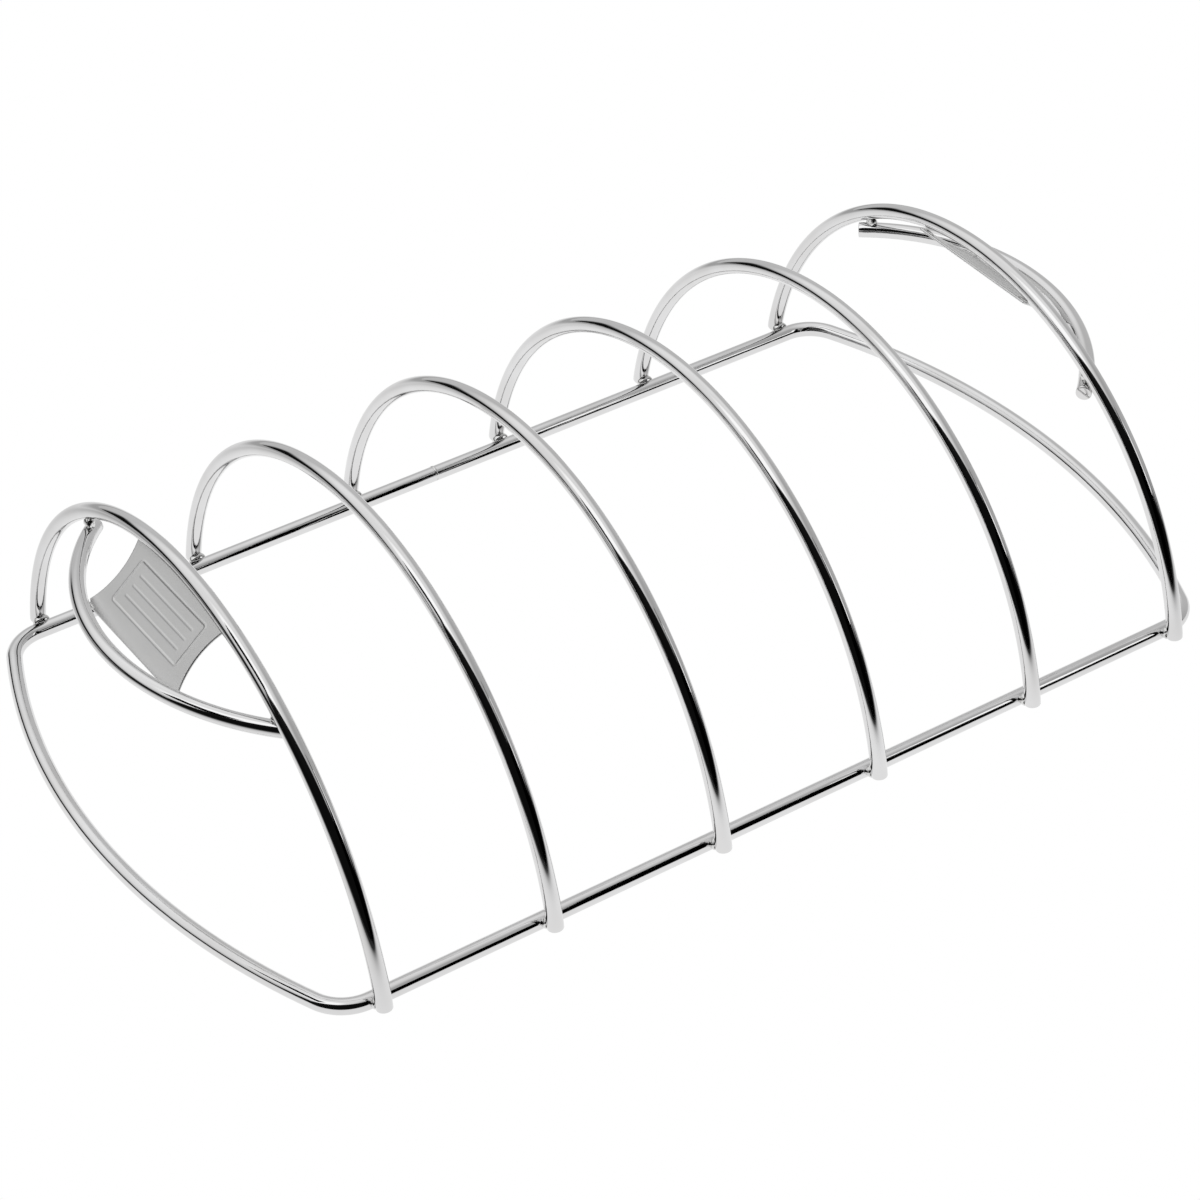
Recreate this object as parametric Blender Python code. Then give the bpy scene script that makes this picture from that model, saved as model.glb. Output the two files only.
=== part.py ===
"""Wire rib rack: six arches welded across a base ring, with a wire bow handle and
a pressed sheet plate at each end.

Metres, +Z up. The rack stands on the plane z = 0 and is centred on the Z axis.
X runs along the rack, and Y across it. Nothing on the rack moves: every piece is
welded to its neighbour, and the welds are pieces of their own.
"""

from math import asin, atan, atan2, ceil, cos, pi, radians, sin, sqrt, tan

import bmesh
import bpy
from mathutils import Matrix, Vector

MM = 0.001

# One gauge of round wire is used everywhere. A wire is a prism with flat sides
# that touch the round wire from outside, so flats and not corners face down.
WIRE_RADIUS = 2.4 * MM
WIRE_SIDES = 12
TOUCH_GAP = 0.3 * MM  # kept between two pieces that touch on the real rack
CHORD = 7.0 * MM  # longest straight stretch used on a bend

# Base ring: two straight rails, two bowed ends and four rounded corners.
RING_Z = WIRE_RADIUS
RAIL_Y = 94.75 * MM
RING_END_X = 147.0 * MM  # where a rail and a bowed end would meet without a corner
RING_END_BULGE = 21.7 * MM
RING_CORNER_RADIUS = 13.1 * MM

# Arches: each is part of a circle whose centre lies below the ring.
ARCH_X = (27.1 * MM, 83.0 * MM, 137.2 * MM)
ARCH_FOOT_Y = 100.0 * MM
ARCH_CENTRE_DROP = 17.3 * MM
ARCH_RADIUS = sqrt(ARCH_FOOT_Y**2 + ARCH_CENTRE_DROP**2)
ARCH_CENTRE_Z = RING_Z - ARCH_CENTRE_DROP
END_ARCH_X = ARCH_X[-1]

# The first arch was not set quite like the rest: it stands a little towards the
# middle of the rack, its back foot more so, and its crown is sprung a little higher.
ARCH_SHIFT = {1: 0.6 * MM}
ARCH_TURN = {1: radians(0.3)}
CROWN_LIFT = {1: 1.0 * MM}
CROWN_LIFT_REACH = 90.0 * MM  # how far to each side of the crown the lift is felt

# Handle bows: an arc in a plane that tips up outwards, welded under the end arch.
BOW_RADIUS = 71.3 * MM
BOW_OUTER_X = 159.4 * MM
BOW_OUTER_Z = RING_Z + 65.1 * MM
BOW_TILT = atan(0.082)
BOW_HALF_ANGLE = 0.865
BOW_CROSS_Y = 51.6 * MM  # where the bow passes under the end arch

# End plates: flat sheet with hollowed sides. It lies against the underside of the
# end arch and of the bow, and is held at its four corners.
PLATE_THICKNESS = 0.8 * MM
PLATE_OFFSET_Y = -0.6 * MM
PLATE_HALF_WIDTH = 25.6 * MM
PLATE_TOP_HALF_WIDTH = 24.6 * MM  # the upper corners are cropped to this
PLATE_WAIST = 3.6 * MM  # depth of the hollow in each side
PLATE_LENGTH = 25.2 * MM  # down the slope
PLATE_FOOT_Y = 19.5 * MM  # the lower edge is straight between -PLATE_FOOT_Y and this
PLATE_SLOPES = {-1.0: radians(40.5), 1.0: radians(38.5)}  # the right plate lies flatter
PLATE_TOP_X = 134.1 * MM
PLATE_TOP_Z = RING_Z + 79.4 * MM

# Welds: a flash ring round each arch foot, a bead where each bow passes under its
# arch, and a bead at each plate corner.
FOOT_WELD_RADII = (2.9 * MM, 2.2 * MM)
FOOT_WELD_RISE = 0.8 * MM
FLASH_HALF_WIDTH = 0.8 * MM
FLASH_HALF_DEPTH = 1.9 * MM
BOW_BEAD = (2.3 * MM, 2.0 * MM, 2.1 * MM)
PLATE_BEAD = (1.4 * MM, 2.2 * MM, 1.1 * MM)
BEAD_RUN = {"upper": 2.0 * MM, "lower": -2.7 * MM}  # down the plate from the wire's centre
BEAD_RISE = 1.3 * MM  # above the middle of the sheet
BEAD_Y = 22.6 * MM

COLOURS = {
    "chrome_wire": ((0.80, 0.80, 0.81, 1.0), 0.10),
    "satin_plate": ((0.62, 0.62, 0.62, 1.0), 0.36),
    "weld_metal": ((0.55, 0.54, 0.53, 1.0), 0.30),
}


def clear_scene():
    for old in list(bpy.data.objects):
        bpy.data.objects.remove(old, do_unlink=True)


def make_material(name):
    colour, roughness = COLOURS[name]
    material = bpy.data.materials.new(name)
    material.use_nodes = True
    shader = material.node_tree.nodes["Principled BSDF"]
    shader.inputs["Base Color"].default_value = colour
    shader.inputs["Metallic"].default_value = 1.0
    shader.inputs["Roughness"].default_value = roughness
    material.diffuse_color = colour
    return material


def add_object(name, mesh, material=None, place=None):
    """Link a mesh to the scene under its own name; one without material is a cutter."""
    piece = bpy.data.objects.new(name, mesh)
    bpy.context.scene.collection.objects.link(piece)
    if place is not None:
        piece.matrix_world = place
    if material is None:
        piece.hide_render = True
        piece.display_type = "WIRE"
    else:
        mesh.materials.clear()
        mesh.materials.append(material)
    return piece


def finish_mesh(name, build, smooth=True):
    """Turn a bmesh into a mesh with its faces pointing out."""
    bmesh.ops.recalc_face_normals(build, faces=build.faces)
    mesh = bpy.data.meshes.new(name)
    build.to_mesh(mesh)
    build.free()
    if smooth:
        mesh.shade_smooth()
        mesh.set_sharp_from_angle(angle=radians(40))
    return mesh


def arc(centre, radius, start, end, chord=CHORD):
    """Points (x, y) along an arc, both ends included."""
    steps = 2 * max(1, ceil(abs(end - start) * radius / chord / 2))
    angles = [start + (end - start) * i / steps for i in range(steps + 1)]
    return [(centre[0] + radius * cos(a), centre[1] + radius * sin(a)) for a in angles]


def section_circle(radius, sides=WIRE_SIDES):
    """A polygon round a circle of this radius, with flats square to both axes."""
    corner = radius / cos(pi / sides)
    turns = [2 * pi * (i + 0.5) / sides for i in range(sides)]
    return [(corner * cos(a), corner * sin(a)) for a in turns]


def section_ellipse(half_width, half_depth, sides):
    turns = [2 * pi * i / sides for i in range(sides)]
    return [(half_width * cos(a), half_depth * sin(a)) for a in turns]


def sweep(name, path, section, closed=False):
    """Carry a section along a path in the local XY plane, with mitred joints.

    A section point (a, b) lies a across the path and b along local Z.
    """
    build = bmesh.new()
    points = [Vector((x, y, 0.0)) for x, y in path]
    count = len(points)
    rings = []
    for i, point in enumerate(points):
        before = points[i - 1] if closed or i > 0 else None
        after = points[(i + 1) % count] if closed or i < count - 1 else None
        come = (point - before).normalized() if before is not None else None
        leave = (after - point).normalized() if after is not None else None
        along = ((come or leave) + (leave or come)).normalized()
        across = Vector((-along.y, along.x, 0.0))
        mitre = 1.0 / along.dot(come or leave)
        rings.append([build.verts.new(point + across * a * mitre + Vector((0, 0, b)))
                      for a, b in section])
    pairs = list(zip(rings, rings[1:]))
    if closed:
        pairs.append((rings[-1], rings[0]))
    for ring, following in pairs:
        for k in range(len(section)):
            nxt = (k + 1) % len(section)
            build.faces.new((ring[k], ring[nxt], following[nxt], following[k]))
    if not closed:
        build.faces.new(rings[0])
        build.faces.new(rings[-1])
    return finish_mesh(name, build)


def ring_path():
    """The base ring's centre line, anticlockwise from the +X, -Y corner."""
    end_radius = (RAIL_Y**2 + RING_END_BULGE**2) / (2 * RING_END_BULGE)
    end_centre = RING_END_X + RING_END_BULGE - end_radius
    corner_y = RAIL_Y - RING_CORNER_RADIUS
    corner_x = end_centre + sqrt((end_radius - RING_CORNER_RADIUS)**2 - corner_y**2)
    join = atan2(corner_y, corner_x - end_centre)
    corner_chord = 4.0 * MM
    low = arc((corner_x, -corner_y), RING_CORNER_RADIUS, -pi / 2, -join, corner_chord)
    bowed = arc((end_centre, 0.0), end_radius, -join, join, 2 * CHORD)
    high = arc((corner_x, corner_y), RING_CORNER_RADIUS, join, pi / 2, corner_chord)
    half = low + bowed[1:-1] + high
    return half + [(-x, -y) for x, y in half]


def arch_path(lift=0.0):
    """An arch in local XY: local X is the rack's Y, and local Y is its Z."""
    foot = asin(ARCH_CENTRE_DROP / ARCH_RADIUS)
    round_arc = arc((0.0, 0.0), ARCH_RADIUS, foot, pi - foot, 1.4 * CHORD)
    share = [max(0.0, 1.0 - (x / CROWN_LIFT_REACH)**2)**2 for x, y in round_arc]
    return [(x, y + lift * part) for (x, y), part in zip(round_arc, share)]


def bow_path():
    return arc((0.0, 0.0), BOW_RADIUS, -BOW_HALF_ANGLE, BOW_HALF_ANGLE)


def arch_place(x, turn):
    """Stand local XY on the ring at x, with local X along the rack's Y."""
    axes = Matrix(((0, 0, 1), (1, 0, 0), (0, 1, 0))).to_4x4()
    return Matrix.Translation((x, 0.0, ARCH_CENTRE_Z)) @ Matrix.Rotation(-turn, 4, "Z") @ axes


def half_turn(side):
    """Nothing at the +X end; half a turn about the rack's Z axis at the -X end."""
    return Matrix.Rotation(0.0 if side > 0 else pi, 4, "Z")


def bow_place(side):
    centre = Vector((BOW_OUTER_X, 0.0, BOW_OUTER_Z))
    tip = Matrix.Translation(centre) @ Matrix.Rotation(-BOW_TILT, 4, "Y")
    return half_turn(side) @ tip @ Matrix.Translation((-BOW_RADIUS, 0.0, 0.0))


def bow_point(y):
    """Centre of the +X bow at this distance from the rack's middle."""
    run = BOW_RADIUS - sqrt(BOW_RADIUS**2 - y**2)
    return Vector((BOW_OUTER_X - run * cos(BOW_TILT), y, BOW_OUTER_Z - run * sin(BOW_TILT)))


def arch_point(x, y):
    """Centre of an arch at this distance from the rack's middle."""
    return Vector((x, y, ARCH_CENTRE_Z + sqrt(ARCH_RADIUS**2 - y**2)))


def plate_frame(side):
    """Local X runs down the plate from its top edge, and local Y across it."""
    place = Matrix.Translation((PLATE_TOP_X, 0.0, PLATE_TOP_Z))
    shift = Matrix.Translation((0.0, PLATE_OFFSET_Y, 0.0))
    return shift @ half_turn(side) @ place @ Matrix.Rotation(PLATE_SLOPES[side], 4, "Y")


def plate_reach(y, slope):
    """How far down the plate its metal may go at this y before it meets the bow."""
    bow = bow_point(y)
    run = bow.x - PLATE_TOP_X
    fall = PLATE_TOP_Z - bow.z
    along = run * cos(slope) + fall * sin(slope)
    above = run * sin(slope) - fall * cos(slope) - PLATE_THICKNESS / 2
    keep_off = WIRE_RADIUS / cos(pi / WIRE_SIDES) + 2 * TOUCH_GAP  # straight edges cut corners
    return min(PLATE_LENGTH, along - sqrt(max(keep_off**2 - above**2, 0.0)))


def plate_outline(slope, grow=0.0):
    """Half of the plate's edge is found, top corner to lower edge, then mirrored."""
    clear = abs(PLATE_OFFSET_Y)  # the bow is nearest where the plate is moved to
    top_y = PLATE_TOP_HALF_WIDTH + grow
    radius = ((PLATE_LENGTH / 2)**2 + PLATE_WAIST**2) / (2 * PLATE_WAIST)
    centre = (PLATE_LENGTH / 2, PLATE_HALF_WIDTH + grow - PLATE_WAIST + radius)
    start = asin((centre[1] - top_y) / radius) - pi
    end = -pi / 2
    limit = end + asin(PLATE_LENGTH / 2 / radius)
    for _ in range(30):  # halve the step until the side ends where it meets the bow
        middle = (end + limit) / 2
        x = centre[0] + radius * cos(middle)
        y = centre[1] + radius * sin(middle)
        if x < plate_reach(y + clear, slope):
            end = middle
        else:
            limit = middle
    side = arc(centre, radius, start, end, 3 * MM)
    corner_y = side[-1][1]
    across = [corner_y + (PLATE_FOOT_Y - corner_y) * i / 3 for i in (1, 2, 3)]
    half = [(0.0, top_y)] + side + [(plate_reach(y + clear, slope), y) for y in across]
    return half + [(x, -y) for x, y in reversed(half)]


def plate_mesh(name, outline, thickness):
    build = bmesh.new()
    face = build.faces.new([build.verts.new((x, y, -thickness / 2)) for x, y in outline])
    lifted = bmesh.ops.extrude_face_region(build, geom=[face])
    top = [item for item in lifted["geom"] if isinstance(item, bmesh.types.BMVert)]
    bmesh.ops.translate(build, verts=top, vec=(0.0, 0.0, thickness))
    return finish_mesh(name, build, smooth=False)


def facing(centre, normal, across):
    """A place whose local Z is the normal and whose local X lies closest to across."""
    z_axis = Vector(normal).normalized()
    x_axis = (Vector(across) - z_axis * z_axis.dot(across)).normalized()
    axes = Matrix((x_axis, z_axis.cross(x_axis), z_axis)).transposed()
    return Matrix.Translation(centre) @ axes.to_4x4()


def cut_clear(piece, cutters):
    for cutter in cutters:
        cut = piece.modifiers.new("clear_of_" + cutter.name, "BOOLEAN")
        cut.operation = "DIFFERENCE"
        cut.solver = "EXACT"
        cut.object = cutter


def flash_ring(name, place, radii, cutters, material):
    """The ring of metal squeezed out round two crossed wires, cut clear of both."""
    steps = 12
    turns = [2 * pi * (i + 0.5) / steps for i in range(steps)]
    path = [(radii[0] * cos(a), radii[1] * sin(a)) for a in turns]
    section = section_ellipse(FLASH_HALF_WIDTH, FLASH_HALF_DEPTH, 6)
    mesh = sweep(name, path, section, closed=True)
    cut_clear(add_object(name, mesh, material, place), cutters)


def bead(name, place, size, cutters, material):
    """A bead in the corner between two pieces, cut clear of both."""
    build = bmesh.new()
    bmesh.ops.create_uvsphere(build, u_segments=10, v_segments=6, radius=1.0)
    bmesh.ops.scale(build, verts=build.verts, vec=size)
    mesh = finish_mesh(name, build)
    cut_clear(add_object(name, mesh, material, place), cutters)


def build_ring(chrome):
    path = ring_path()
    place = Matrix.Translation((0.0, 0.0, RING_Z))
    add_object("base_ring", sweep("base_ring", path, section_circle(WIRE_RADIUS), True),
               chrome, place)
    wide = sweep("ring_clearance", path, section_circle(WIRE_RADIUS + TOUCH_GAP), True)
    return add_object("ring_clearance", wide, place=place)


def build_arches(chrome, welds, ring_cutter):
    """Six arches numbered from -X, each with a flash ring at both feet."""
    contact_y = (RAIL_Y + ARCH_FOOT_Y) / 2
    cutters = []
    for number, x in enumerate(sorted([-x for x in ARCH_X] + list(ARCH_X)), start=1):
        path = arch_path(CROWN_LIFT.get(number, 0.0))
        turn = ARCH_TURN.get(number, 0.0)
        middle = x + ARCH_SHIFT.get(number, 0.0)
        place = arch_place(middle, turn)
        add_object(f"arch_{number}", sweep(f"arch_{number}", path, section_circle(WIRE_RADIUS)),
                   chrome, place)
        wide = sweep(f"arch_{number}_clearance", path, section_circle(WIRE_RADIUS + TOUCH_GAP))
        cutter = add_object(f"arch_{number}_clearance", wide, place=place)
        cutters.append(cutter)
        for end, way in (("front", -1.0), ("back", 1.0)):
            foot_x = middle + way * contact_y * tan(turn)
            centre = (foot_x, way * contact_y, RING_Z + FOOT_WELD_RISE)
            flash_ring(f"foot_weld_{number}_{end}", facing(centre, (0, way, 0), (1, 0, 0)),
                       FOOT_WELD_RADII, (ring_cutter, cutter), welds)
    return cutters


def build_end(label, side, materials, arch_cutter):
    """A handle bow, its two welds, the plate and the plate's four beads."""
    chrome, satin, welds = materials
    place = bow_place(side)
    add_object(f"handle_bow_{label}", sweep(f"bow_{label}", bow_path(), section_circle(WIRE_RADIUS)),
               chrome, place)
    wide = sweep(f"bow_{label}_clearance", bow_path(), section_circle(WIRE_RADIUS + TOUCH_GAP))
    bow_cutter = add_object(f"bow_{label}_clearance", wide, place=place)

    frame = plate_frame(side)
    slope = PLATE_SLOPES[side]
    outline = plate_outline(slope)
    add_object(f"end_plate_{label}", plate_mesh(f"plate_{label}", outline, PLATE_THICKNESS),
               satin, frame)
    grown = [(x + (TOUCH_GAP if x > PLATE_LENGTH / 2 else -TOUCH_GAP), y)
             for x, y in plate_outline(slope, TOUCH_GAP)]
    plate_wide = plate_mesh(f"plate_{label}_clearance", grown, PLATE_THICKNESS + 2 * TOUCH_GAP)
    plate_cutter = add_object(f"plate_{label}_clearance", plate_wide, place=frame)

    turn = half_turn(side)
    for end, way in (("front", -1.0), ("back", 1.0)):
        local = way * side  # which side of the +X end this becomes after its half turn
        arch_mid = arch_point(END_ARCH_X, local * BOW_CROSS_Y)
        bow_mid = bow_point(local * BOW_CROSS_Y)
        arch_run = (0.0, arch_mid.z - ARCH_CENTRE_Z, -arch_mid.y)
        spot = turn @ facing((arch_mid + bow_mid) / 2, arch_mid - bow_mid, arch_run)
        bead(f"bow_weld_{label}_{end}", spot, BOW_BEAD, (arch_cutter, bow_cutter), welds)

    for end, way in (("front", -1.0), ("back", 1.0)):
        across = way * side * BEAD_Y
        for level, wire, cutter in (
            ("upper", arch_point(END_ARCH_X, across), arch_cutter),
            ("lower", bow_point(across), bow_cutter),
        ):
            down = (frame.inverted() @ turn @ wire).x + BEAD_RUN[level]
            spot = frame @ Matrix.Translation((down, across, BEAD_RISE))
            bead(f"plate_weld_{label}_{end}_{level}", spot, PLATE_BEAD, (plate_cutter, cutter),
                 welds)


def main():
    clear_scene()
    chrome = make_material("chrome_wire")
    satin = make_material("satin_plate")
    welds = make_material("weld_metal")
    ring_cutter = build_ring(chrome)
    arch_cutters = build_arches(chrome, welds, ring_cutter)
    build_end("left", -1.0, (chrome, satin, welds), arch_cutters[0])
    build_end("right", 1.0, (chrome, satin, welds), arch_cutters[-1])


main()
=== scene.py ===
"""Looks of the wire rib rack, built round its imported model.

Every wire, plate and weld is made again at full smoothness from the rack's own
dimensions and takes the place of its plain twin. All of it is welded into one
body, so every piece rides on "root".
"""

from math import asin, atan, atan2, ceil, cos, pi, radians, sin, sqrt, tan

import bmesh
import bpy
from mathutils import Matrix, Vector, noise


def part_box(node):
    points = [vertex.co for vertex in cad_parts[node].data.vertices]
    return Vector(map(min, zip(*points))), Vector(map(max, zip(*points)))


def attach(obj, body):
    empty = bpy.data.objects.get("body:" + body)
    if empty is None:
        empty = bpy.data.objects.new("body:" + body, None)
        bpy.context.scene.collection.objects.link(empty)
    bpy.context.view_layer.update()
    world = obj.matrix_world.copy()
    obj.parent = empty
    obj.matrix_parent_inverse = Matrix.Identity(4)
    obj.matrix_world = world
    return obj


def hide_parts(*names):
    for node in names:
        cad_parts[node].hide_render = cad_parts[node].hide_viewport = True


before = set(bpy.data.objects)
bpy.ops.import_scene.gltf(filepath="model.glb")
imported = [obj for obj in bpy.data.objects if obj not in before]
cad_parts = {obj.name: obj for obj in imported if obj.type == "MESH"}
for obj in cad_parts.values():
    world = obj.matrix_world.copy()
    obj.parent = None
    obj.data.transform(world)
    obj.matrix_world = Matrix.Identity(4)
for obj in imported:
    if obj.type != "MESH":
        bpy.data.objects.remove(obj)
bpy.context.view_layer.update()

MM = 0.001
ARCH_COUNT = sum(name.startswith("arch_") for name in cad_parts)
SIDES = (("left", -1.0), ("right", 1.0))
ENDS = (("front", -1.0), ("back", 1.0))


def box_middle(node):
    low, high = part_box(node)
    return (low + high) / 2


# The rack's driving dimensions, as the model has them.
RING_LOW, RING_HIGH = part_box("base_ring")
WIRE_RADIUS = (RING_HIGH.z - RING_LOW.z) / 2
RING_Z = RING_LOW.z + WIRE_RADIUS
RAIL_Y = RING_HIGH.y - WIRE_RADIUS
RING_END_BULGE = 21.7 * MM
RING_END_X = RING_HIGH.x - WIRE_RADIUS - RING_END_BULGE
RING_CORNER_RADIUS = 13.1 * MM

ARCH_FOOT_Y = 100.0 * MM
ARCH_CENTRE_DROP = 17.3 * MM
ARCH_RADIUS = sqrt(ARCH_FOOT_Y**2 + ARCH_CENTRE_DROP**2)
ARCH_CENTRE_Z = RING_Z - ARCH_CENTRE_DROP
ARCH_CROWN_Z = ARCH_CENTRE_Z + ARCH_RADIUS + WIRE_RADIUS
ARCH_TURN = {1: radians(0.3)}
CROWN_LIFT_REACH = 90.0 * MM
END_ARCH_X = box_middle("arch_6").x

BOW_RADIUS = 71.3 * MM
BOW_OUTER_X = 159.4 * MM
BOW_OUTER_Z = RING_Z + 65.1 * MM
BOW_TILT = atan(0.082)
BOW_HALF_ANGLE = 0.865
BOW_CROSS_Y = 51.6 * MM

PLATE_THICKNESS = 0.8 * MM
PLATE_OFFSET_Y = -0.6 * MM
PLATE_HALF_WIDTH = 25.6 * MM
PLATE_TOP_HALF_WIDTH = 24.6 * MM
PLATE_WAIST = 3.6 * MM
PLATE_LENGTH = 25.2 * MM
PLATE_SLOPES = {-1.0: radians(40.5), 1.0: radians(38.5)}  # the right plate lies flatter
PLATE_TOP_X = 134.1 * MM
PLATE_TOP_Z = RING_Z + 79.4 * MM

# Smoothness and the small shapes that the plain model leaves out.
WIRE_SIDES = 36
WIRE_CHORD = 2.2 * MM
FOOT_EDGE = 0.8 * MM  # the arch's cut ends are tumbled round
BOW_EDGE = 0.3 * MM
EDGE_STEPS = 5
CORNER_CHORD = 1.0 * MM  # shorter straight stretches on the ring's corners
BOW_CHORD = 1.6 * MM
RAIL_STEPS = 24
SHARP_ANGLE = 50  # degrees: a steeper edge between two faces stays sharp
PLATE_SHARP_ANGLE = 70
WELD_SHARP_ANGLE = 80
HEAT_REACH = 5.5 * MM  # how far from a weld the plating is dulled
PLATE_CELL = 0.3 * MM  # size of the sheet's mesh
PLATE_EDGE = 0.22 * MM  # how far in the sheet's edge is softened
PLATE_TOUCH = 0.1 * MM  # kept between sheet and bow
REACH_ROUNDS = 12  # rounds of settling where a line down the sheet meets the bow

# The pressed panel in the middle of each plate: a blank field in a raised border.
PANEL_MIDDLE = 12.3 * MM  # down the plate from its top edge
PANEL_HALF = (6.8 * MM, 17.5 * MM)
PANEL_CORNER = 0.9 * MM
PANEL_LINE = 0.19 * MM  # half the width of a pressed line
PANEL_RISE = 0.12 * MM
PANEL_SINK = 0.5  # the field lies this share of the rise below the sheet
PANEL_SHOULDER = 1.4  # width of a line's shoulder, in half line widths
RIB_RISE = 0.8  # of the border's
RIB_SPACING = 3.3 * MM
RIB_HALF_LENGTH = 14.2 * MM

# Welds: squeezed-out rings at the feet, and solid beads elsewhere.
FOOT_WELD_RADII = (2.25 * MM, 1.7 * MM)
FOOT_WELD_RISE = 0.8 * MM
FLASH_HALF = (0.42 * MM, 1.0 * MM)  # half width and half depth of a ring
FLASH_WOBBLE = 0.3
FLASH_DRIFT_SCALE = 1.3
FLASH_GRAIN_SCALE = 900
BOW_BEAD = (1.9 * MM, 1.5 * MM, 1.9 * MM)
PLATE_BEAD = (0.6 * MM, 2.2 * MM, 0.45 * MM)
BEAD_RUN = {"upper": 0.8 * MM, "lower": -1.25 * MM}
BEAD_RISE = 0.5 * MM
BEAD_Y = 22.6 * MM
BEAD_SWELL = (0.22, 1.4)  # size and scale of a bead's broad lumps
BEAD_GRAIN = (0.06, 5)  # and of its fine ones
NOISE_SEAT = 1000  # spreads the welds out in the noise, so that no two are alike
SEAM_X = 0.4 * MM  # where the ring's two ends were butted together, on the back rail
SEAM_HALF = (0.2 * MM, 0.42 * MM)
SEAM_SINK = 0.1 * MM
SEAM_WOBBLE = 0.15

# Linear colours: of the cloudy plating, its stain by a weld, the sheet and the welds.
PLATING = ((0.735, 0.730, 0.728, 1.0), (0.790, 0.790, 0.795, 1.0))
STAIN = (0.30, 0.275, 0.25, 1.0)
SHEET = ((0.66, 0.66, 0.655, 1.0), (0.84, 0.84, 0.84, 1.0))
WELD_METAL = ((0.56, 0.55, 0.54, 1.0), (0.76, 0.76, 0.755, 1.0))

# Camera.
CAMERA_AZIMUTH = radians(-33.852)
CAMERA_ELEVATION = radians(38.276)
CAMERA_ROLL = radians(-0.494)
CAMERA_DISTANCE = 1.0466
CAMERA_TARGET = Vector((-0.01734, -0.02490, 0.0374))
CAMERA_LENS = 110.05
CAMERA_SENSOR = 36.0
CAMERA_NEAR = 0.05

# Stage: the seen floor and surround, and the floor's light, seen only as a reflection.
STAGE_SIZE = 6.0
SURROUND_SIZE = 1.1 * STAGE_SIZE
FLOOR_DROP = 0.0001
FLOOR_LIGHT_DROP = 0.0002
FLOOR_LIGHT_RADIUS = 1.5
FLOOR_LIGHT_SPREAD = (0.30, 0.22)  # along and across the rack
FLOOR_LIGHT_FULL = 0.94
FLOOR_LIGHT_INNER = 0.45  # in spreads: the light is full inside this
FLOOR_LIGHT_FRONT = (2.0, 0.03)  # how far it fades, and to what
FLOOR_LIGHT_BACK = (3.2, 0.42)
FLOOR_LIGHT_SPLIT = ((0.35, 1.0, 0.0), 0.08, 0.30)

# Cards that stand before the rack and at its left, seen only as reflections.
CARD_Y = -RAIL_Y - 0.5
FLAG_FRONT = ((-0.10, 0.0), (0.37, 0.0), (0.39, 0.29), (0.44, 0.62), (0.49, 0.90),
              (0.38, 0.90), (0.20, 0.45), (-0.10, 0.40))
STRIP_LIGHT = ((0.45, 0.30), (0.60, 0.30), (0.60, 0.75), (0.46, 0.75))
STRIP_STRENGTH = 1.25
FLAG_LEFT_TOWARDS = (-0.62, 0.09, 0.78)
FLAG_LEFT_DISTANCE = 0.35
FLAG_LEFT_HALF = (0.08, 0.065)
FLAG_LEFT_TURN = 0.5  # where on the bow the left flag faces, in radians

# Studio: each region is a direction, and the cosines to it between which it comes in.
WALLS = ((0.5, 0.85, 0.0), 0.0, 1.0)
WALL_LIGHT = (0.45, 0.60)
OVERHEAD = ((-0.30, 0.25, 0.92), 0.50, 0.86)
OVERHEAD_LIGHT = 0.42
LAMP = ((-0.45, 0.02, 0.893), 0.90, 0.97)
LAMP_LIGHT = 0.36
DARK_LEFT = ((-0.55, -0.83, -0.10), 0.34, 0.40)
DARK_RIGHT = ((0.40, -0.88, 0.22), 0.90, 0.93)
HORIZON_SIDE = ((-0.8, -0.6, 0.0), -0.55, -0.40)
HORIZON_HEIGHT = (0.30, 0.16)
DARK_DEPTH = -0.99


# ---------------------------------------------------------------- node helpers


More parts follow.
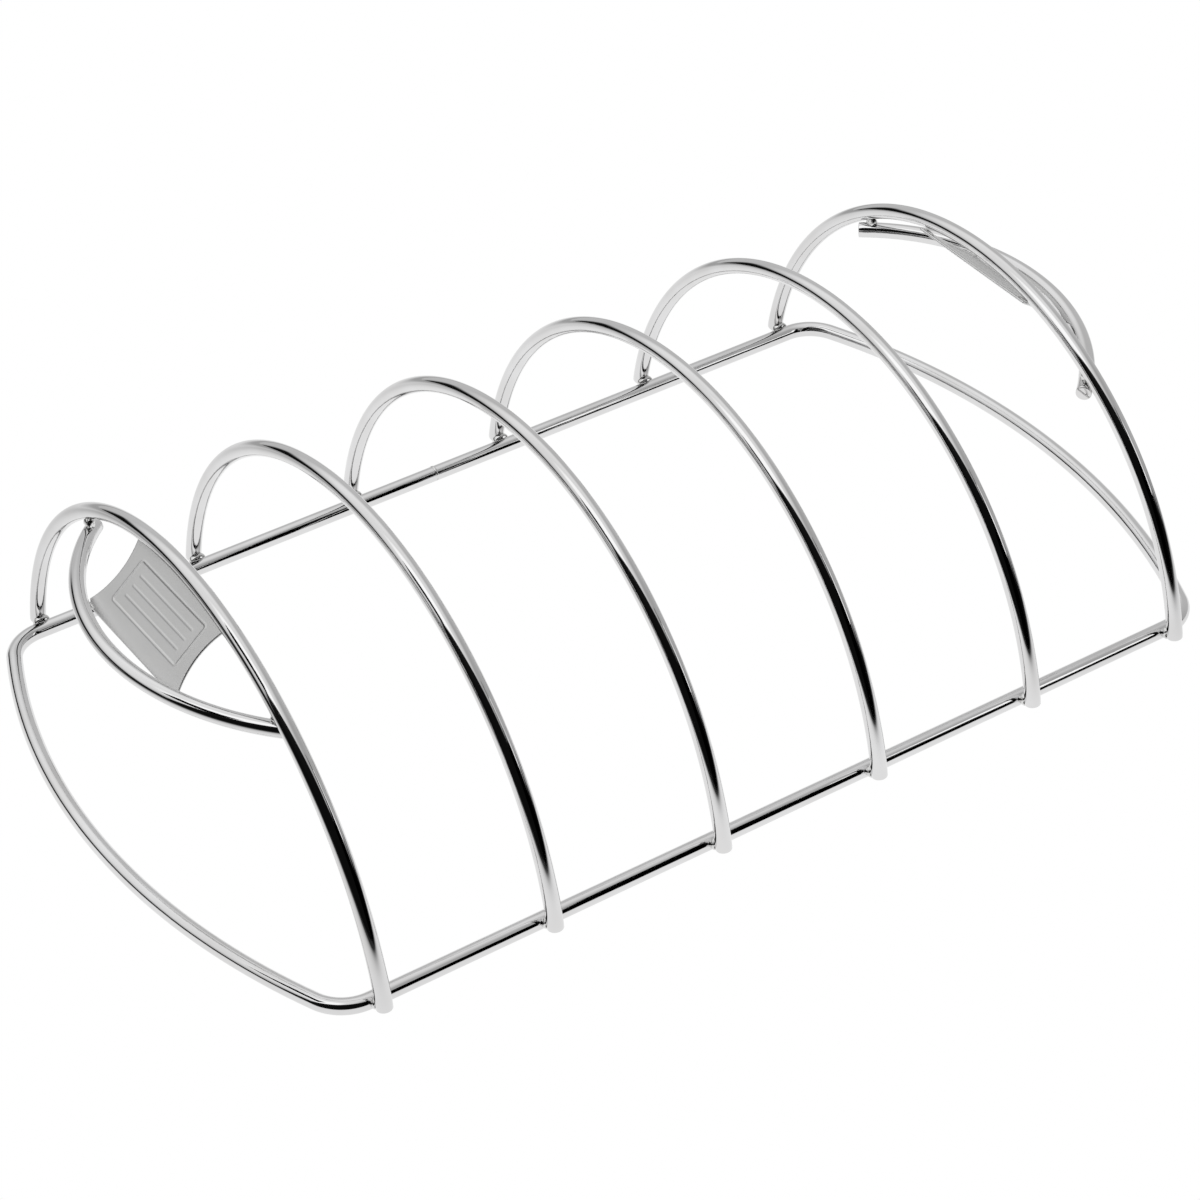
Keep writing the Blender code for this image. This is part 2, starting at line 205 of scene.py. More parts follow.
class Nodes:
    """Short calls for building a node tree."""

    def __init__(self, tree):
        self.tree = tree

    def add(self, kind, **settings):
        node = self.tree.nodes.new(kind)
        for name, value in settings.items():
            setattr(node, name, value)
        return node

    def feed(self, socket, value):
        if isinstance(value, bpy.types.NodeSocket):
            self.tree.links.new(value, socket)
        elif value is not None:
            socket.default_value = value

    def math(self, operation, first, second=None, third=None, clamp=False):
        node = self.add("ShaderNodeMath", operation=operation, use_clamp=clamp)
        for socket, value in zip(node.inputs, (first, second, third)):
            self.feed(socket, value)
        return node.outputs[0]

    def smooth(self, value, low, high, to_low=0.0, to_high=1.0):
        node = self.add("ShaderNodeMapRange", interpolation_type="SMOOTHSTEP")
        for name, given in (("Value", value), ("From Min", low), ("From Max", high),
                            ("To Min", to_low), ("To Max", to_high)):
            self.feed(node.inputs[name], given)
        return node.outputs[0]

    def dot(self, vector, direction):
        node = self.add("ShaderNodeVectorMath", operation="DOT_PRODUCT")
        self.feed(node.inputs[0], vector)
        node.inputs[1].default_value = direction
        return node.outputs["Value"]

    def stretch(self, vector, scale):
        node = self.add("ShaderNodeMapping")
        self.feed(node.inputs["Vector"], vector)
        node.inputs["Scale"].default_value = scale
        return node.outputs["Vector"]

    def region(self, vector, area, to_low=0.0, to_high=1.0):
        direction, low, high = area
        return self.smooth(self.dot(vector, direction), low, high, to_low, to_high)

    def noise(self, vector, scale, detail=3.0, roughness=0.55):
        node = self.add("ShaderNodeTexNoise")
        self.feed(node.inputs["Vector"], vector)
        node.inputs["Scale"].default_value = scale
        node.inputs["Detail"].default_value = detail
        node.inputs["Roughness"].default_value = roughness
        return node.outputs["Fac"]

    def ramp(self, value, stops):
        node = self.add("ShaderNodeValToRGB")
        self.feed(node.inputs["Fac"], value)
        spare = node.color_ramp.elements
        while len(spare) < len(stops):
            spare.new(0.5)
        for element, (place, grey) in zip(spare, stops):
            element.position = place
            element.color = (grey, grey, grey, 1.0) if isinstance(grey, float) else grey
        return node.outputs["Color"]

    def bump(self, height, strength, distance, normal=None):
        node = self.add("ShaderNodeBump")
        node.inputs["Strength"].default_value = strength
        node.inputs["Distance"].default_value = distance
        self.feed(node.inputs["Height"], height)
        self.feed(node.inputs["Normal"], normal)
        return node.outputs["Normal"]


def new_metal(name):
    """A metal material, with its shader and node helper."""
    material = bpy.data.materials.new(name)
    material.use_nodes = True
    shader = material.node_tree.nodes["Principled BSDF"]
    shader.inputs["Metallic"].default_value = 1.0
    return material, shader, Nodes(material.node_tree)


# ------------------------------------------------------------------- materials


def chrome_material():
    """Drawn wire, plated bright: faint lines along it, and dulled beside its welds."""
    material, shader, nodes = new_metal("bright_plated_wire")
    along = nodes.add("ShaderNodeUVMap", uv_map="UVMap").outputs["UV"]
    place = nodes.add("ShaderNodeTexCoord").outputs["Object"]
    heat = nodes.add("ShaderNodeAttribute", attribute_name="heat").outputs["Fac"]
    clouds = nodes.noise(place, 55.0, 3.0)
    specks = nodes.noise(place, 900.0, 2.0)
    lines = nodes.noise(nodes.stretch(along, (34.0, 90.0, 1.0)), 1.0, 3.0)
    patches = nodes.smooth(nodes.noise(place, 420.0, 4.0), 0.35, 0.65)
    soot = nodes.math("MULTIPLY", heat, patches, clamp=True)
    tone = nodes.ramp(clouds, ((0.30, PLATING[0]), (0.70, PLATING[1])))
    stain = nodes.add("ShaderNodeMix", data_type="RGBA")
    nodes.feed(stain.inputs["Factor"], nodes.math("MULTIPLY", soot, 0.25))
    nodes.feed(stain.inputs["A"], tone)
    stain.inputs["B"].default_value = STAIN
    nodes.feed(shader.inputs["Base Color"], stain.outputs["Result"])
    rough = nodes.smooth(clouds, 0.3, 0.7, 0.035, 0.075)
    rough = nodes.math("ADD", rough, nodes.smooth(specks, 0.55, 0.8, 0.0, 0.05))
    rough = nodes.math("ADD", rough, nodes.math("MULTIPLY", soot, 0.10))
    nodes.feed(shader.inputs["Roughness"], rough)
    waves = nodes.bump(nodes.noise(place, 38.0, 2.0), 0.12, 0.0010)
    drawn = nodes.bump(lines, 0.05, 0.00012, waves)
    nodes.feed(shader.inputs["Normal"], nodes.bump(soot, 0.06, 0.0001, drawn))
    return material


def plate_material():
    """Satin sheet: faint brushing across the plate, a cloudy tone and brighter edges."""
    material, shader, nodes = new_metal("satin_sheet")
    place = nodes.add("ShaderNodeUVMap", uv_map="UVMap").outputs["UV"]
    body = nodes.add("ShaderNodeTexCoord").outputs["Object"]
    rim = nodes.add("ShaderNodeAttribute", attribute_name="rim").outputs["Fac"]
    brushed = nodes.noise(nodes.stretch(place, (9000.0, 260.0, 1.0)), 1.0, 4.0, 0.6)
    clouds = nodes.noise(body, 90.0, 3.0)
    tone = nodes.math("ADD", nodes.math("MULTIPLY", clouds, 0.06),
                      nodes.math("MULTIPLY", brushed, 0.03))
    tone = nodes.math("ADD", tone, nodes.math("MULTIPLY", rim, 0.10))
    mixed = nodes.ramp(tone, ((0.0, SHEET[0]), (0.20, SHEET[1])))
    nodes.feed(shader.inputs["Base Color"], mixed)
    rough = nodes.smooth(brushed, 0.3, 0.7, 0.35, 0.39)
    nodes.feed(shader.inputs["Roughness"], rough)
    nodes.feed(shader.inputs["Normal"], nodes.bump(brushed, 0.03, 0.00004))
    return material


def weld_material():
    """Plated-over weld metal: lumpy, duller than the wire and darker in its hollows."""
    material, shader, nodes = new_metal("plated_weld")
    place = nodes.add("ShaderNodeTexCoord").outputs["Object"]
    lumps = nodes.noise(place, 620.0, 4.0)
    grain = nodes.noise(place, 2600.0, 3.0)
    tone = nodes.ramp(lumps, ((0.30, WELD_METAL[0]), (0.52, WELD_METAL[1])))
    nodes.feed(shader.inputs["Base Color"], tone)
    nodes.feed(shader.inputs["Roughness"], nodes.smooth(grain, 0.3, 0.7, 0.08, 0.20))
    rough_skin = nodes.bump(lumps, 0.18, 0.0002)
    nodes.feed(shader.inputs["Normal"], nodes.bump(grain, 0.15, 0.00005, rough_skin))
    return material


# ------------------------------------------------------------------ mesh tools


def finish_piece(name, build, material, place, replaced, sharp=SHARP_ANGLE):
    """Turn a bmesh into a shown piece, in place, that rides on the rack."""
    bmesh.ops.recalc_face_normals(build, faces=build.faces)
    mesh = bpy.data.meshes.new(name)
    build.to_mesh(mesh)
    build.free()
    mesh.transform(place)
    mesh.shade_smooth()
    mesh.set_sharp_from_angle(angle=radians(sharp))
    mesh.materials.append(material)
    piece = bpy.data.objects.new(name, mesh)
    bpy.context.scene.collection.objects.link(piece)
    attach(piece, "root")
    if replaced:
        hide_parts(replaced)
    return piece


def arc(centre, radius, start, end, chord=WIRE_CHORD):
    """Points (x, y) along an arc, both ends included."""
    steps = 2 * max(1, ceil(abs(end - start) * radius / chord / 2))
    angles = [start + (end - start) * i / steps for i in range(steps + 1)]
    return [(centre[0] + radius * cos(a), centre[1] + radius * sin(a)) for a in angles]


def path_frames(path, closed):
    """Point, direction across, mitre and direction along for each point of a flat path."""
    points = [Vector((x, y, 0.0)) for x, y in path]
    count = len(points)
    frames = []
    for i, point in enumerate(points):
        before = points[i - 1] if closed or i > 0 else None
        after = points[(i + 1) % count] if closed or i < count - 1 else None
        come = (point - before).normalized() if before is not None else None
        leave = (after - point).normalized() if after is not None else None
        along = ((come or leave) + (leave or come)).normalized()
        mitre = 1.0 / along.dot(come or leave)
        frames.append((point, Vector((-along.y, along.x, 0.0)), mitre, along))
    return frames


def rounded_end(frame_at_end, inward, edge):
    """Rings (point, across, radius) that round the edge of a cut wire, from its face in."""
    point, across, _, _ = frame_at_end
    rings = []
    for step in range(EDGE_STEPS):
        turn = pi / 2 * (1 - step / EDGE_STEPS)
        rings.append((point + inward * edge * (1 - sin(turn)), across,
                      WIRE_RADIUS - edge * (1 - cos(turn))))
    return rings


def wire(name, path, material, place, replaced, closed=False, edge=0.0, hot_spots=()):
    """A round wire along a flat path in local XY, with its heat marks near the welds."""
    frames = path_frames(path, closed)
    rings = [(point, across * mitre, WIRE_RADIUS) for point, across, mitre, _ in frames]
    if not closed:
        first = rounded_end(frames[0], frames[0][3], edge)
        last = rounded_end(frames[-1], -frames[-1][3], edge)
        rings = first + rings[1:-1] + list(reversed(last))
    build = bmesh.new()
    heat = build.verts.layers.float.new("heat")
    uv = build.loops.layers.uv.new("UVMap")
    turns = [2 * pi * k / WIRE_SIDES for k in range(WIRE_SIDES)]
    loops, run = [], [0.0]
    for i, (point, across, radius) in enumerate(rings):
        if i:
            run.append(run[-1] + (point - rings[i - 1][0]).length)
        loop = []
        for turn in turns:
            vert = build.verts.new(point + across * radius * cos(turn)
                                   + Vector((0, 0, radius * sin(turn))))
            world = place @ vert.co
            vert[heat] = max([0.0] + [1 - (world - spot).length / HEAT_REACH
                                      for spot in hot_spots])
            loop.append(vert)
        loops.append(loop)
    pairs = list(zip(range(len(loops) - 1), range(1, len(loops))))
    if closed:
        run.append(run[-1] + (rings[0][0] - rings[-1][0]).length)
        pairs.append((len(loops) - 1, 0))
    for i, j in pairs:
        for k in range(WIRE_SIDES):
            n = (k + 1) % WIRE_SIDES
            face = build.faces.new((loops[i][k], loops[i][n], loops[j][n], loops[j][k]))
            spots = ((k, i), (k + 1, i), (k + 1, i + 1), (k, i + 1))
            for corner, (around, length) in zip(face.loops, spots):
                corner[uv].uv = (around / WIRE_SIDES, run[length])
    if not closed:
        build.faces.new(loops[0])
        build.faces.new(loops[-1])
    return finish_piece(name, build, material, place, replaced)


def lumpy_ring(name, material, place, radii, half, replaced, wobble, steps=44, section=14):
    """A ring of squeezed-out metal with an uneven edge."""
    build = bmesh.new()
    seat = place.translation * NOISE_SEAT
    rings = []
    for i in range(steps):
        a = 2 * pi * i / steps
        out = Vector((cos(a) / radii[0], sin(a) / radii[1], 0)).normalized()
        point = Vector((radii[0] * cos(a), radii[1] * sin(a), 0))
        drift = 1 + wobble * noise.noise(seat + Vector((cos(a), sin(a), 0)) * FLASH_DRIFT_SCALE)
        ring = []
        for k in range(section):
            b = 2 * pi * k / section
            spot = out * half[0] * cos(b) + Vector((0, 0, half[1] * sin(b)))
            grain = noise.noise(seat + (point + spot) * FLASH_GRAIN_SCALE)
            ring.append(build.verts.new(point + spot * (drift + 0.5 * wobble * grain)))
        rings.append(ring)
    for ring, following in zip(rings, rings[1:] + rings[:1]):
        for k in range(section):
            n = (k + 1) % section
            build.faces.new((ring[k], ring[n], following[n], following[k]))
    return finish_piece(name, build, material, place, replaced,
                        WELD_SHARP_ANGLE)


def bead(name, material, place, size, replaced):
    """A bead of weld metal: a squashed ball with an uneven skin."""
    build = bmesh.new()
    bmesh.ops.create_icosphere(build, subdivisions=4, radius=1.0)
    seat = place.translation * NOISE_SEAT
    for vert in build.verts:
        swell = (1 + BEAD_SWELL[0] * noise.noise(seat + vert.co * BEAD_SWELL[1])
                 + BEAD_GRAIN[0] * noise.noise(seat + vert.co * BEAD_GRAIN[1]))
        vert.co = Vector(radius * swell * part for radius, part in zip(size, vert.co))
    return finish_piece(name, build, material, place, replaced,
                        WELD_SHARP_ANGLE)


# ----------------------------------------------------------- places and curves


def ring_path():
    """The base ring's centre line, anticlockwise from the +X, -Y corner."""
    end_radius = (RAIL_Y**2 + RING_END_BULGE**2) / (2 * RING_END_BULGE)
    end_centre = RING_END_X + RING_END_BULGE - end_radius
    corner_y = RAIL_Y - RING_CORNER_RADIUS
    corner_x = end_centre + sqrt((end_radius - RING_CORNER_RADIUS)**2 - corner_y**2)
    join = atan2(corner_y, corner_x - end_centre)
    low = arc((corner_x, -corner_y), RING_CORNER_RADIUS, -pi / 2, -join, CORNER_CHORD)
    bowed = arc((end_centre, 0.0), end_radius, -join, join, 2 * WIRE_CHORD)
    high = arc((corner_x, corner_y), RING_CORNER_RADIUS, join, pi / 2, CORNER_CHORD)
    rail = [(corner_x - 2 * corner_x * i / RAIL_STEPS, RAIL_Y) for i in range(1, RAIL_STEPS)]
    half = low + bowed[1:-1] + high + rail
    return half + [(-x, -y) for x, y in half]


def arch_path(lift):
    """An arch in local XY: local X is the rack's Y, and local Y is its Z."""
    foot = asin(ARCH_CENTRE_DROP / ARCH_RADIUS)
    round_arc = arc((0.0, 0.0), ARCH_RADIUS, foot, pi - foot)
    share = [max(0.0, 1.0 - (x / CROWN_LIFT_REACH)**2)**2 for x, y in round_arc]
    return [(x, y + lift * part) for (x, y), part in zip(round_arc, share)]


def arch_place(x, turn):
    axes = Matrix(((0, 0, 1), (1, 0, 0), (0, 1, 0))).to_4x4()
    return Matrix.Translation((x, 0.0, ARCH_CENTRE_Z)) @ Matrix.Rotation(-turn, 4, "Z") @ axes


def half_turn(side):
    return Matrix.Rotation(0.0 if side > 0 else pi, 4, "Z")


def bow_place(side):
    centre = Vector((BOW_OUTER_X, 0.0, BOW_OUTER_Z))
    tip = Matrix.Translation(centre) @ Matrix.Rotation(-BOW_TILT, 4, "Y")
    return half_turn(side) @ tip @ Matrix.Translation((-BOW_RADIUS, 0.0, 0.0))


def bow_point(y):
    """Centre of the +X bow at this distance from the rack's middle."""
    run = BOW_RADIUS - sqrt(BOW_RADIUS**2 - y**2)
    return Vector((BOW_OUTER_X - run * cos(BOW_TILT), y, BOW_OUTER_Z - run * sin(BOW_TILT)))


def arch_point(x, y):
    return Vector((x, y, ARCH_CENTRE_Z + sqrt(ARCH_RADIUS**2 - y**2)))


def facing(centre, normal, across):
    """A place whose local Z is the normal and whose local X lies closest to across."""
    z_axis = Vector(normal).normalized()
    x_axis = (Vector(across) - z_axis * z_axis.dot(across)).normalized()
    axes = Matrix((x_axis, z_axis.cross(x_axis), z_axis)).transposed()
    return Matrix.Translation(centre) @ axes.to_4x4()


def plate_frame(side):
    """Local X runs down the plate from its top edge, and local Y across it."""
    place = Matrix.Translation((PLATE_TOP_X, 0.0, PLATE_TOP_Z))
    shift = Matrix.Translation((0.0, PLATE_OFFSET_Y, 0.0))
    return shift @ half_turn(side) @ place @ Matrix.Rotation(PLATE_SLOPES[side], 4, "Y")


# ---------------------------------------------------------------------- plates


def plate_reach(y, slope):
    """How far down the plate its metal may go at this y before it meets the bow."""
    bow = bow_point(y)
    run = bow.x - PLATE_TOP_X
    fall = PLATE_TOP_Z - bow.z
    along = run * cos(slope) + fall * sin(slope)
    above = run * sin(slope) - fall * cos(slope) - PLATE_THICKNESS / 2
    return min(PLATE_LENGTH, along - sqrt(max((WIRE_RADIUS + PLATE_TOUCH)**2 - above**2, 0.0)))


def plate_half_width(down):
    """Half the sheet's width at this distance down it: hollow sides, cropped top corners."""
    radius = ((PLATE_LENGTH / 2)**2 + PLATE_WAIST**2) / (2 * PLATE_WAIST)
    middle = PLATE_HALF_WIDTH - PLATE_WAIST + radius
    return min(PLATE_TOP_HALF_WIDTH, middle - sqrt(radius**2 - (down - PLATE_LENGTH / 2)**2))


def plate_point(share_across, share_down, inset, slope):
    """A point of the sheet from its shares of the width and length, in from the edge."""
    end = PLATE_LENGTH
    for _ in range(REACH_ROUNDS):
        end = plate_reach(abs(share_across) * plate_half_width(end) + abs(PLATE_OFFSET_Y), slope)
    down = inset + (end - 2 * inset) * share_down
    return Vector((down, share_across * (plate_half_width(down) - inset), 0.0))


def step_down(value, width):
    """1 inside, 0 outside, with a smooth shoulder of this width."""
    share = min(max(0.5 - value / width, 0.0), 1.0)
    return share * share * (3 - 2 * share)


def pressed_height(point):
    """How far the press raised the sheet here: a bordered field with three plain ribs."""
    down, across = abs(point.x - PANEL_MIDDLE), abs(point.y)
    over = (max(down - PANEL_HALF[0] + PANEL_CORNER, 0.0),
            max(across - PANEL_HALF[1] + PANEL_CORNER, 0.0))
    edge = sqrt(over[0]**2 + over[1]**2) - PANEL_CORNER
    if over == (0.0, 0.0):
        edge = max(down - PANEL_HALF[0], across - PANEL_HALF[1])
    shoulder = PANEL_SHOULDER * PANEL_LINE
    border = step_down(abs(edge) - PANEL_LINE, shoulder)
    rib = 0.0
    for number in (-1, 0, 1):
        off = abs(point.x - PANEL_MIDDLE - number * RIB_SPACING)
        past = max(across - RIB_HALF_LENGTH, 0.0)
        rib = max(rib, step_down(sqrt(off**2 + past**2) - PANEL_LINE, shoulder))
    field = step_down(edge, shoulder)
    return PANEL_RISE * (border + RIB_RISE * rib - PANEL_SINK * field * (1 - border))


def plate(side_name, side, material):
    """The sheet as two pressed skins joined round a softened edge."""
    build = bmesh.new()
    uv = build.loops.layers.uv.new("UVMap")
    rim_layer = build.verts.layers.float.new("rim")
    across_steps = round(2 * PLATE_HALF_WIDTH / PLATE_CELL)
    down_steps = round(PLATE_LENGTH / PLATE_CELL)
    half = PLATE_THICKNESS / 2
    flat_of = {}

    def vert_at(i, j, inset, lift, pressed):
        point = plate_point(2 * i / across_steps - 1, j / down_steps, inset, PLATE_SLOPES[side])
        height = lift + (pressed_height(point) if pressed else 0.0)
        vert = build.verts.new((point.x, point.y, height))
        flat_of[vert] = (point.x, point.y)
        return vert

    edge = [(i, 0) for i in range(across_steps)]
    edge += [(across_steps, j) for j in range(down_steps)]
    edge += [(i, down_steps) for i in range(across_steps, 0, -1)]
    edge += [(0, j) for j in range(down_steps, 0, -1)]
    skins = []
    for lift in (half, -half):
        skins.append({(i, j): vert_at(i, j, PLATE_EDGE, lift, True)
                      for i in range(across_steps + 1) for j in range(down_steps + 1)})
    for skin in skins:
        for i in range(across_steps):
            for j in range(down_steps):
                build.faces.new((skin[i, j], skin[i + 1, j], skin[i + 1, j + 1], skin[i, j + 1]))
    middle_rims = []
    for lift in (half - PLATE_EDGE, -half + PLATE_EDGE):
        middle_rims.append([vert_at(i, j, 0.0, lift, False) for i, j in edge])
    rims = [[skins[0][spot] for spot in edge], *middle_rims, [skins[1][spot] for spot in edge]]
    for upper, lower in zip(rims, rims[1:]):
        for k in range(len(edge)):
            n = (k + 1) % len(edge)
            build.faces.new((upper[k], upper[n], lower[n], lower[k]))
    for loop in rims:
        for vert in loop:
            vert[rim_layer] = 1.0
    for face in build.faces:
        for corner in face.loops:
            corner[uv].uv = flat_of[corner.vert]
    return finish_piece(f"plate_{side_name}", build, material, plate_frame(side),
                        f"end_plate_{side_name}", PLATE_SHARP_ANGLE)


# -------------------------------------------------------------------- assembly


def build_ring(chrome, welds):
    spots = [Vector((SEAM_X, RAIL_Y, RING_Z))]
    for number in range(1, ARCH_COUNT + 1):
        x = box_middle(f"arch_{number}").x
        spots += [Vector((x, way * ARCH_FOOT_Y, RING_Z)) for _, way in ENDS]
    place = Matrix.Translation((0.0, 0.0, RING_Z))
    wire("ring_wire", ring_path(), chrome, place, "base_ring", closed=True, hot_spots=spots)
    outer = WIRE_RADIUS - SEAM_SINK
    seam_place = facing((SEAM_X, RAIL_Y, outer + SEAM_HALF[0]), (1, 0, 0), (0, 1, 0))
    lumpy_ring("ring_butt_seam", welds, seam_place, (outer, outer), SEAM_HALF, None, SEAM_WOBBLE)


def build_arches(chrome, welds):
    contact_y = (RAIL_Y + ARCH_FOOT_Y) / 2
    for number in range(1, ARCH_COUNT + 1):
        low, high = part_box(f"arch_{number}")
        middle = (low.x + high.x) / 2
        turn = ARCH_TURN.get(number, 0.0)
        lift = max(0.0, high.z - ARCH_CROWN_Z)
        spots = [Vector((middle, way * RAIL_Y, RING_Z)) for _, way in ENDS]
        if number in (1, ARCH_COUNT):
            spots += [half_turn(number - 3.5) @ bow_point(BOW_CROSS_Y * way) for _, way in ENDS]
        wire(f"arch_wire_{number}", arch_path(lift), chrome, arch_place(middle, turn),
             f"arch_{number}", edge=FOOT_EDGE, hot_spots=spots)
        for end, way in ENDS:
            foot_x = middle + way * contact_y * tan(turn)
            centre = (foot_x, way * contact_y, RING_Z + FOOT_WELD_RISE)
            lumpy_ring(f"foot_lump_{number}_{end}", welds, facing(centre, (0, way, 0), (1, 0, 0)),
                       FOOT_WELD_RADII, FLASH_HALF, f"foot_weld_{number}_{end}", FLASH_WOBBLE)


def build_end(label, side, chrome, satin, welds):
    turn = half_turn(side)
    frame_of_plate = plate_frame(side)
    path = arc((0.0, 0.0), BOW_RADIUS, -BOW_HALF_ANGLE, BOW_HALF_ANGLE, BOW_CHORD)
    spots = [turn @ arch_point(END_ARCH_X, way * BOW_CROSS_Y) for _, way in ENDS]
    wire(f"bow_wire_{label}", path, chrome, bow_place(side), f"handle_bow_{label}",
         edge=BOW_EDGE, hot_spots=spots)
    plate(label, side, satin)
    for end, way in ENDS:
        local = way * side
        arch_mid = arch_point(END_ARCH_X, local * BOW_CROSS_Y)
        bow_mid = bow_point(local * BOW_CROSS_Y)
        arch_run = (0.0, arch_mid.z - ARCH_CENTRE_Z, -arch_mid.y)
        place = turn @ facing((arch_mid + bow_mid) / 2, arch_mid - bow_mid, arch_run)
        bead(f"bow_lump_{label}_{end}", welds, place, BOW_BEAD, f"bow_weld_{label}_{end}")
        across = local * BEAD_Y
        for level, crossing in (("upper", arch_point(END_ARCH_X, across)),
                                ("lower", bow_point(across))):
            down = (frame_of_plate.inverted() @ turn @ crossing).x + BEAD_RUN[level]
            spot = frame_of_plate @ Matrix.Translation((down, across, BEAD_RISE))
            bead(f"plate_bead_{label}_{end}_{level}", welds, spot, PLATE_BEAD,
                 f"plate_weld_{label}_{end}_{level}")


# ------------------------------------------------------------ stage and camera


def glow_material(name, strength=None):
    """Plain white light, seen from one side; strength may vary it over the surface."""
    material = bpy.data.materials.new(name)
    material.use_nodes = True
    nodes = Nodes(material.node_tree)
    material.node_tree.nodes.clear()
    glow = nodes.add("ShaderNodeEmission")
    if strength:
        nodes.feed(glow.inputs["Strength"], strength(nodes))
    clear = nodes.add("ShaderNodeBsdfTransparent")
    behind = nodes.add("ShaderNodeNewGeometry").outputs["Backfacing"]
    mix = nodes.add("ShaderNodeMixShader")
    nodes.feed(mix.inputs[0], behind)
    nodes.feed(mix.inputs[1], glow.outputs[0])
    nodes.feed(mix.inputs[2], clear.outputs[0])
    out = nodes.add("ShaderNodeOutputMaterial")
    nodes.feed(out.inputs["Surface"], mix.outputs[0])
    return material


def lit_patch(nodes):
    """Light on the floor: full under the rack, gone in front of it and half behind."""
    place = nodes.add("ShaderNodeTexCoord").outputs["Object"]
    length = nodes.add("ShaderNodeVectorMath", operation="LENGTH")
    along, across = FLOOR_LIGHT_SPREAD
    nodes.feed(length.inputs[0], nodes.stretch(place, (1 / along, 1 / across, 1.0)))
    near, behind = (
        nodes.smooth(length.outputs["Value"], FLOOR_LIGHT_INNER, reach, FLOOR_LIGHT_FULL, rest)
        for reach, rest in (FLOOR_LIGHT_FRONT, FLOOR_LIGHT_BACK))
    part = nodes.region(place, FLOOR_LIGHT_SPLIT)
    return nodes.math("ADD", nodes.math("MULTIPLY", behind, part),
                      nodes.math("MULTIPLY", near, nodes.math("SUBTRACT", 1.0, part)))


def stage_disc(name, radius, height, material):
    build = bmesh.new()
    bmesh.ops.create_circle(build, cap_ends=True, segments=64, radius=radius)
    mesh = bpy.data.meshes.new(name)
    build.to_mesh(mesh)
    build.free()
    mesh.materials.append(material)
    disc = bpy.data.objects.new(name, mesh)
    disc.location.z = height
    bpy.context.scene.collection.objects.link(disc)
    return disc


def only_seen_by(obj, camera):
    """Seen directly, or only as a reflection and as light."""
    obj.visible_camera = camera
    obj.visible_glossy = not camera
    obj.visible_diffuse = not camera
    obj.visible_shadow = False
    obj.visible_transmission = camera


def build_stage():
    """A white floor and surround; the wires mirror a lit floor that fades with distance."""
    floor = stage_disc("floor", STAGE_SIZE, -FLOOR_DROP, glow_material("floor_white"))
    only_seen_by(floor, True)
    bounce = stage_disc("floor_light", FLOOR_LIGHT_RADIUS, -FLOOR_LIGHT_DROP,
                        glow_material("floor_bounce", lit_patch))
    only_seen_by(bounce, False)
    build = bmesh.new()
    bmesh.ops.create_uvsphere(build, u_segments=48, v_segments=24, radius=SURROUND_SIZE)
    bmesh.ops.reverse_faces(build, faces=build.faces)
    mesh = bpy.data.meshes.new("surround")
    build.to_mesh(mesh)
    build.free()
    mesh.materials.append(glow_material("surround_white"))
    surround = bpy.data.objects.new("surround", mesh)
    bpy.context.scene.collection.objects.link(surround)
    only_seen_by(surround, True)


def studio_card(name, corners, strength):
    """A flat card that shows only as a reflection: black, or a soft light."""
    mesh = bpy.data.meshes.new(name)
    mesh.from_pydata(corners, [], [list(range(len(corners)))])
    material = bpy.data.materials.new(name)
    material.use_nodes = True
    nodes = Nodes(material.node_tree)
    material.node_tree.nodes.clear()
    glow = nodes.add("ShaderNodeEmission")
    glow.inputs["Strength"].default_value = strength
    out = nodes.add("ShaderNodeOutputMaterial")
    nodes.feed(out.inputs["Surface"], glow.outputs[0])
    mesh.materials.append(material)
    card = bpy.data.objects.new(name, mesh)
    bpy.context.scene.collection.objects.link(card)
    only_seen_by(card, False)


def build_cards():
    """A tall black flag and a strip light before the rack, and a small flag at the left."""
    studio_card("flag_front", [(x, CARD_Y, z) for x, z in FLAG_FRONT], 0.0)
    studio_card("strip_light", [(x, CARD_Y, z) for x, z in STRIP_LIGHT], STRIP_STRENGTH)
    turn = FLAG_LEFT_TURN
    bow_front = bow_place(-1.0) @ Vector((BOW_RADIUS * cos(turn), BOW_RADIUS * sin(turn), 0.0))
    towards = Vector(FLAG_LEFT_TOWARDS).normalized()
    side = Vector((0.0, 1.0, 0.0))
    rise = towards.cross(side).normalized()
    middle = bow_front + towards * FLAG_LEFT_DISTANCE
    wide, high = FLAG_LEFT_HALF
    corners = [middle + side * a * wide + rise * b * high
               for a, b in ((-1, -1), (1, -1), (1, 1), (-1, 1))]
    studio_card("flag_left", corners, 0.0)


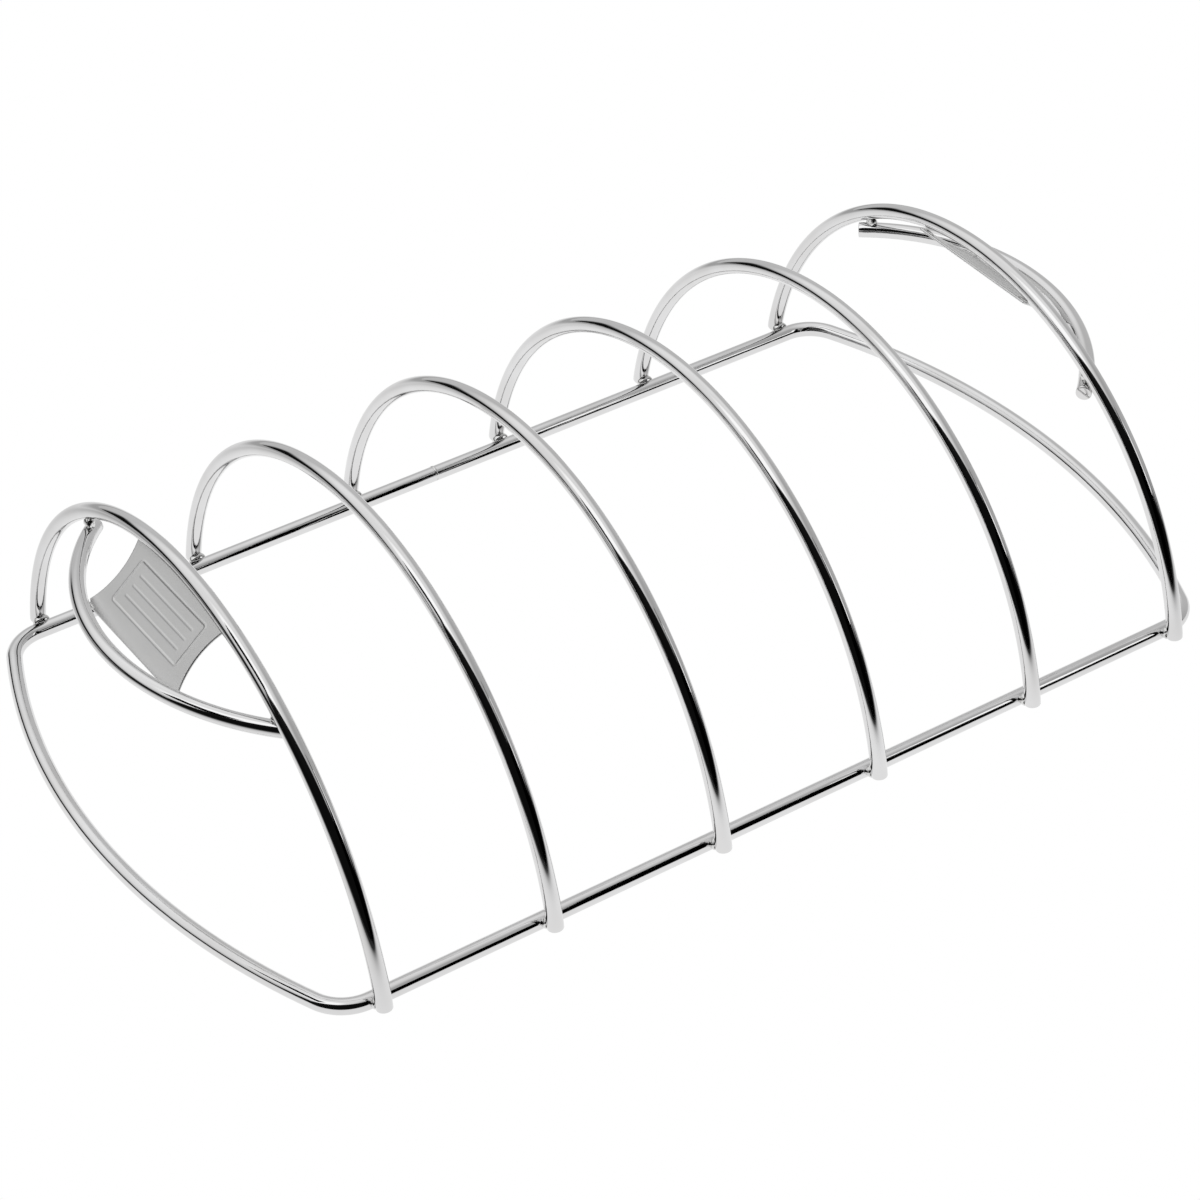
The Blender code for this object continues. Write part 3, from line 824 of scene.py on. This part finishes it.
def build_world():
    """Studio light: one broad light overhead, grey walls, and dark areas at the front."""
    world = bpy.data.worlds.new("studio")
    bpy.context.scene.world = world
    world.use_nodes = True
    nodes = Nodes(world.node_tree)
    background = world.node_tree.nodes["Background"]
    look = nodes.add("ShaderNodeTexCoord").outputs["Generated"]
    up = nodes.dot(look, (0, 0, 1))
    walls = nodes.region(look, WALLS, *WALL_LIGHT)
    overhead = nodes.region(look, OVERHEAD, 0.0, OVERHEAD_LIGHT)
    lamp = nodes.region(look, LAMP, 0.0, LAMP_LIGHT)
    bright = nodes.math("ADD", walls, nodes.math("ADD", overhead, lamp))
    dark_left = nodes.region(look, DARK_LEFT)
    dark_right = nodes.region(look, DARK_RIGHT)
    horizon = nodes.math("MULTIPLY",
                         nodes.smooth(nodes.math("ABSOLUTE", up), *HORIZON_HEIGHT),
                         nodes.region(look, HORIZON_SIDE))
    dark = nodes.math("MAXIMUM", nodes.math("MAXIMUM", dark_left, dark_right), horizon)
    bright = nodes.math("MULTIPLY", bright, nodes.math("MULTIPLY_ADD", dark, DARK_DEPTH, 1.0))
    nodes.feed(background.inputs["Color"], bright)


def build_camera():
    back = Vector((sin(CAMERA_AZIMUTH) * cos(CAMERA_ELEVATION),
                   -cos(CAMERA_AZIMUTH) * cos(CAMERA_ELEVATION), sin(CAMERA_ELEVATION)))
    right = Vector((0, 0, 1)).cross(back).normalized()
    above = back.cross(right)
    rolled_right = right * cos(CAMERA_ROLL) + above * sin(CAMERA_ROLL)
    rolled_above = above * cos(CAMERA_ROLL) - right * sin(CAMERA_ROLL)
    axes = Matrix((rolled_right, rolled_above, back)).transposed().to_4x4()
    camera = bpy.data.objects.new("camera", bpy.data.cameras.new("camera"))
    camera.data.lens = CAMERA_LENS
    camera.data.sensor_width = CAMERA_SENSOR
    camera.data.clip_start = CAMERA_NEAR
    camera.data.clip_end = 4 * STAGE_SIZE
    camera.matrix_world = Matrix.Translation(CAMERA_TARGET + back * CAMERA_DISTANCE) @ axes
    bpy.context.scene.collection.objects.link(camera)
    bpy.context.scene.camera = camera


def main():
    chrome = chrome_material()
    satin = plate_material()
    welds = weld_material()
    build_ring(chrome, welds)
    build_arches(chrome, welds)
    for label, side in SIDES:
        build_end(label, side, chrome, satin, welds)
    build_stage()
    build_world()
    build_cards()
    build_camera()
    bpy.context.scene.view_settings.view_transform = "Standard"


main()
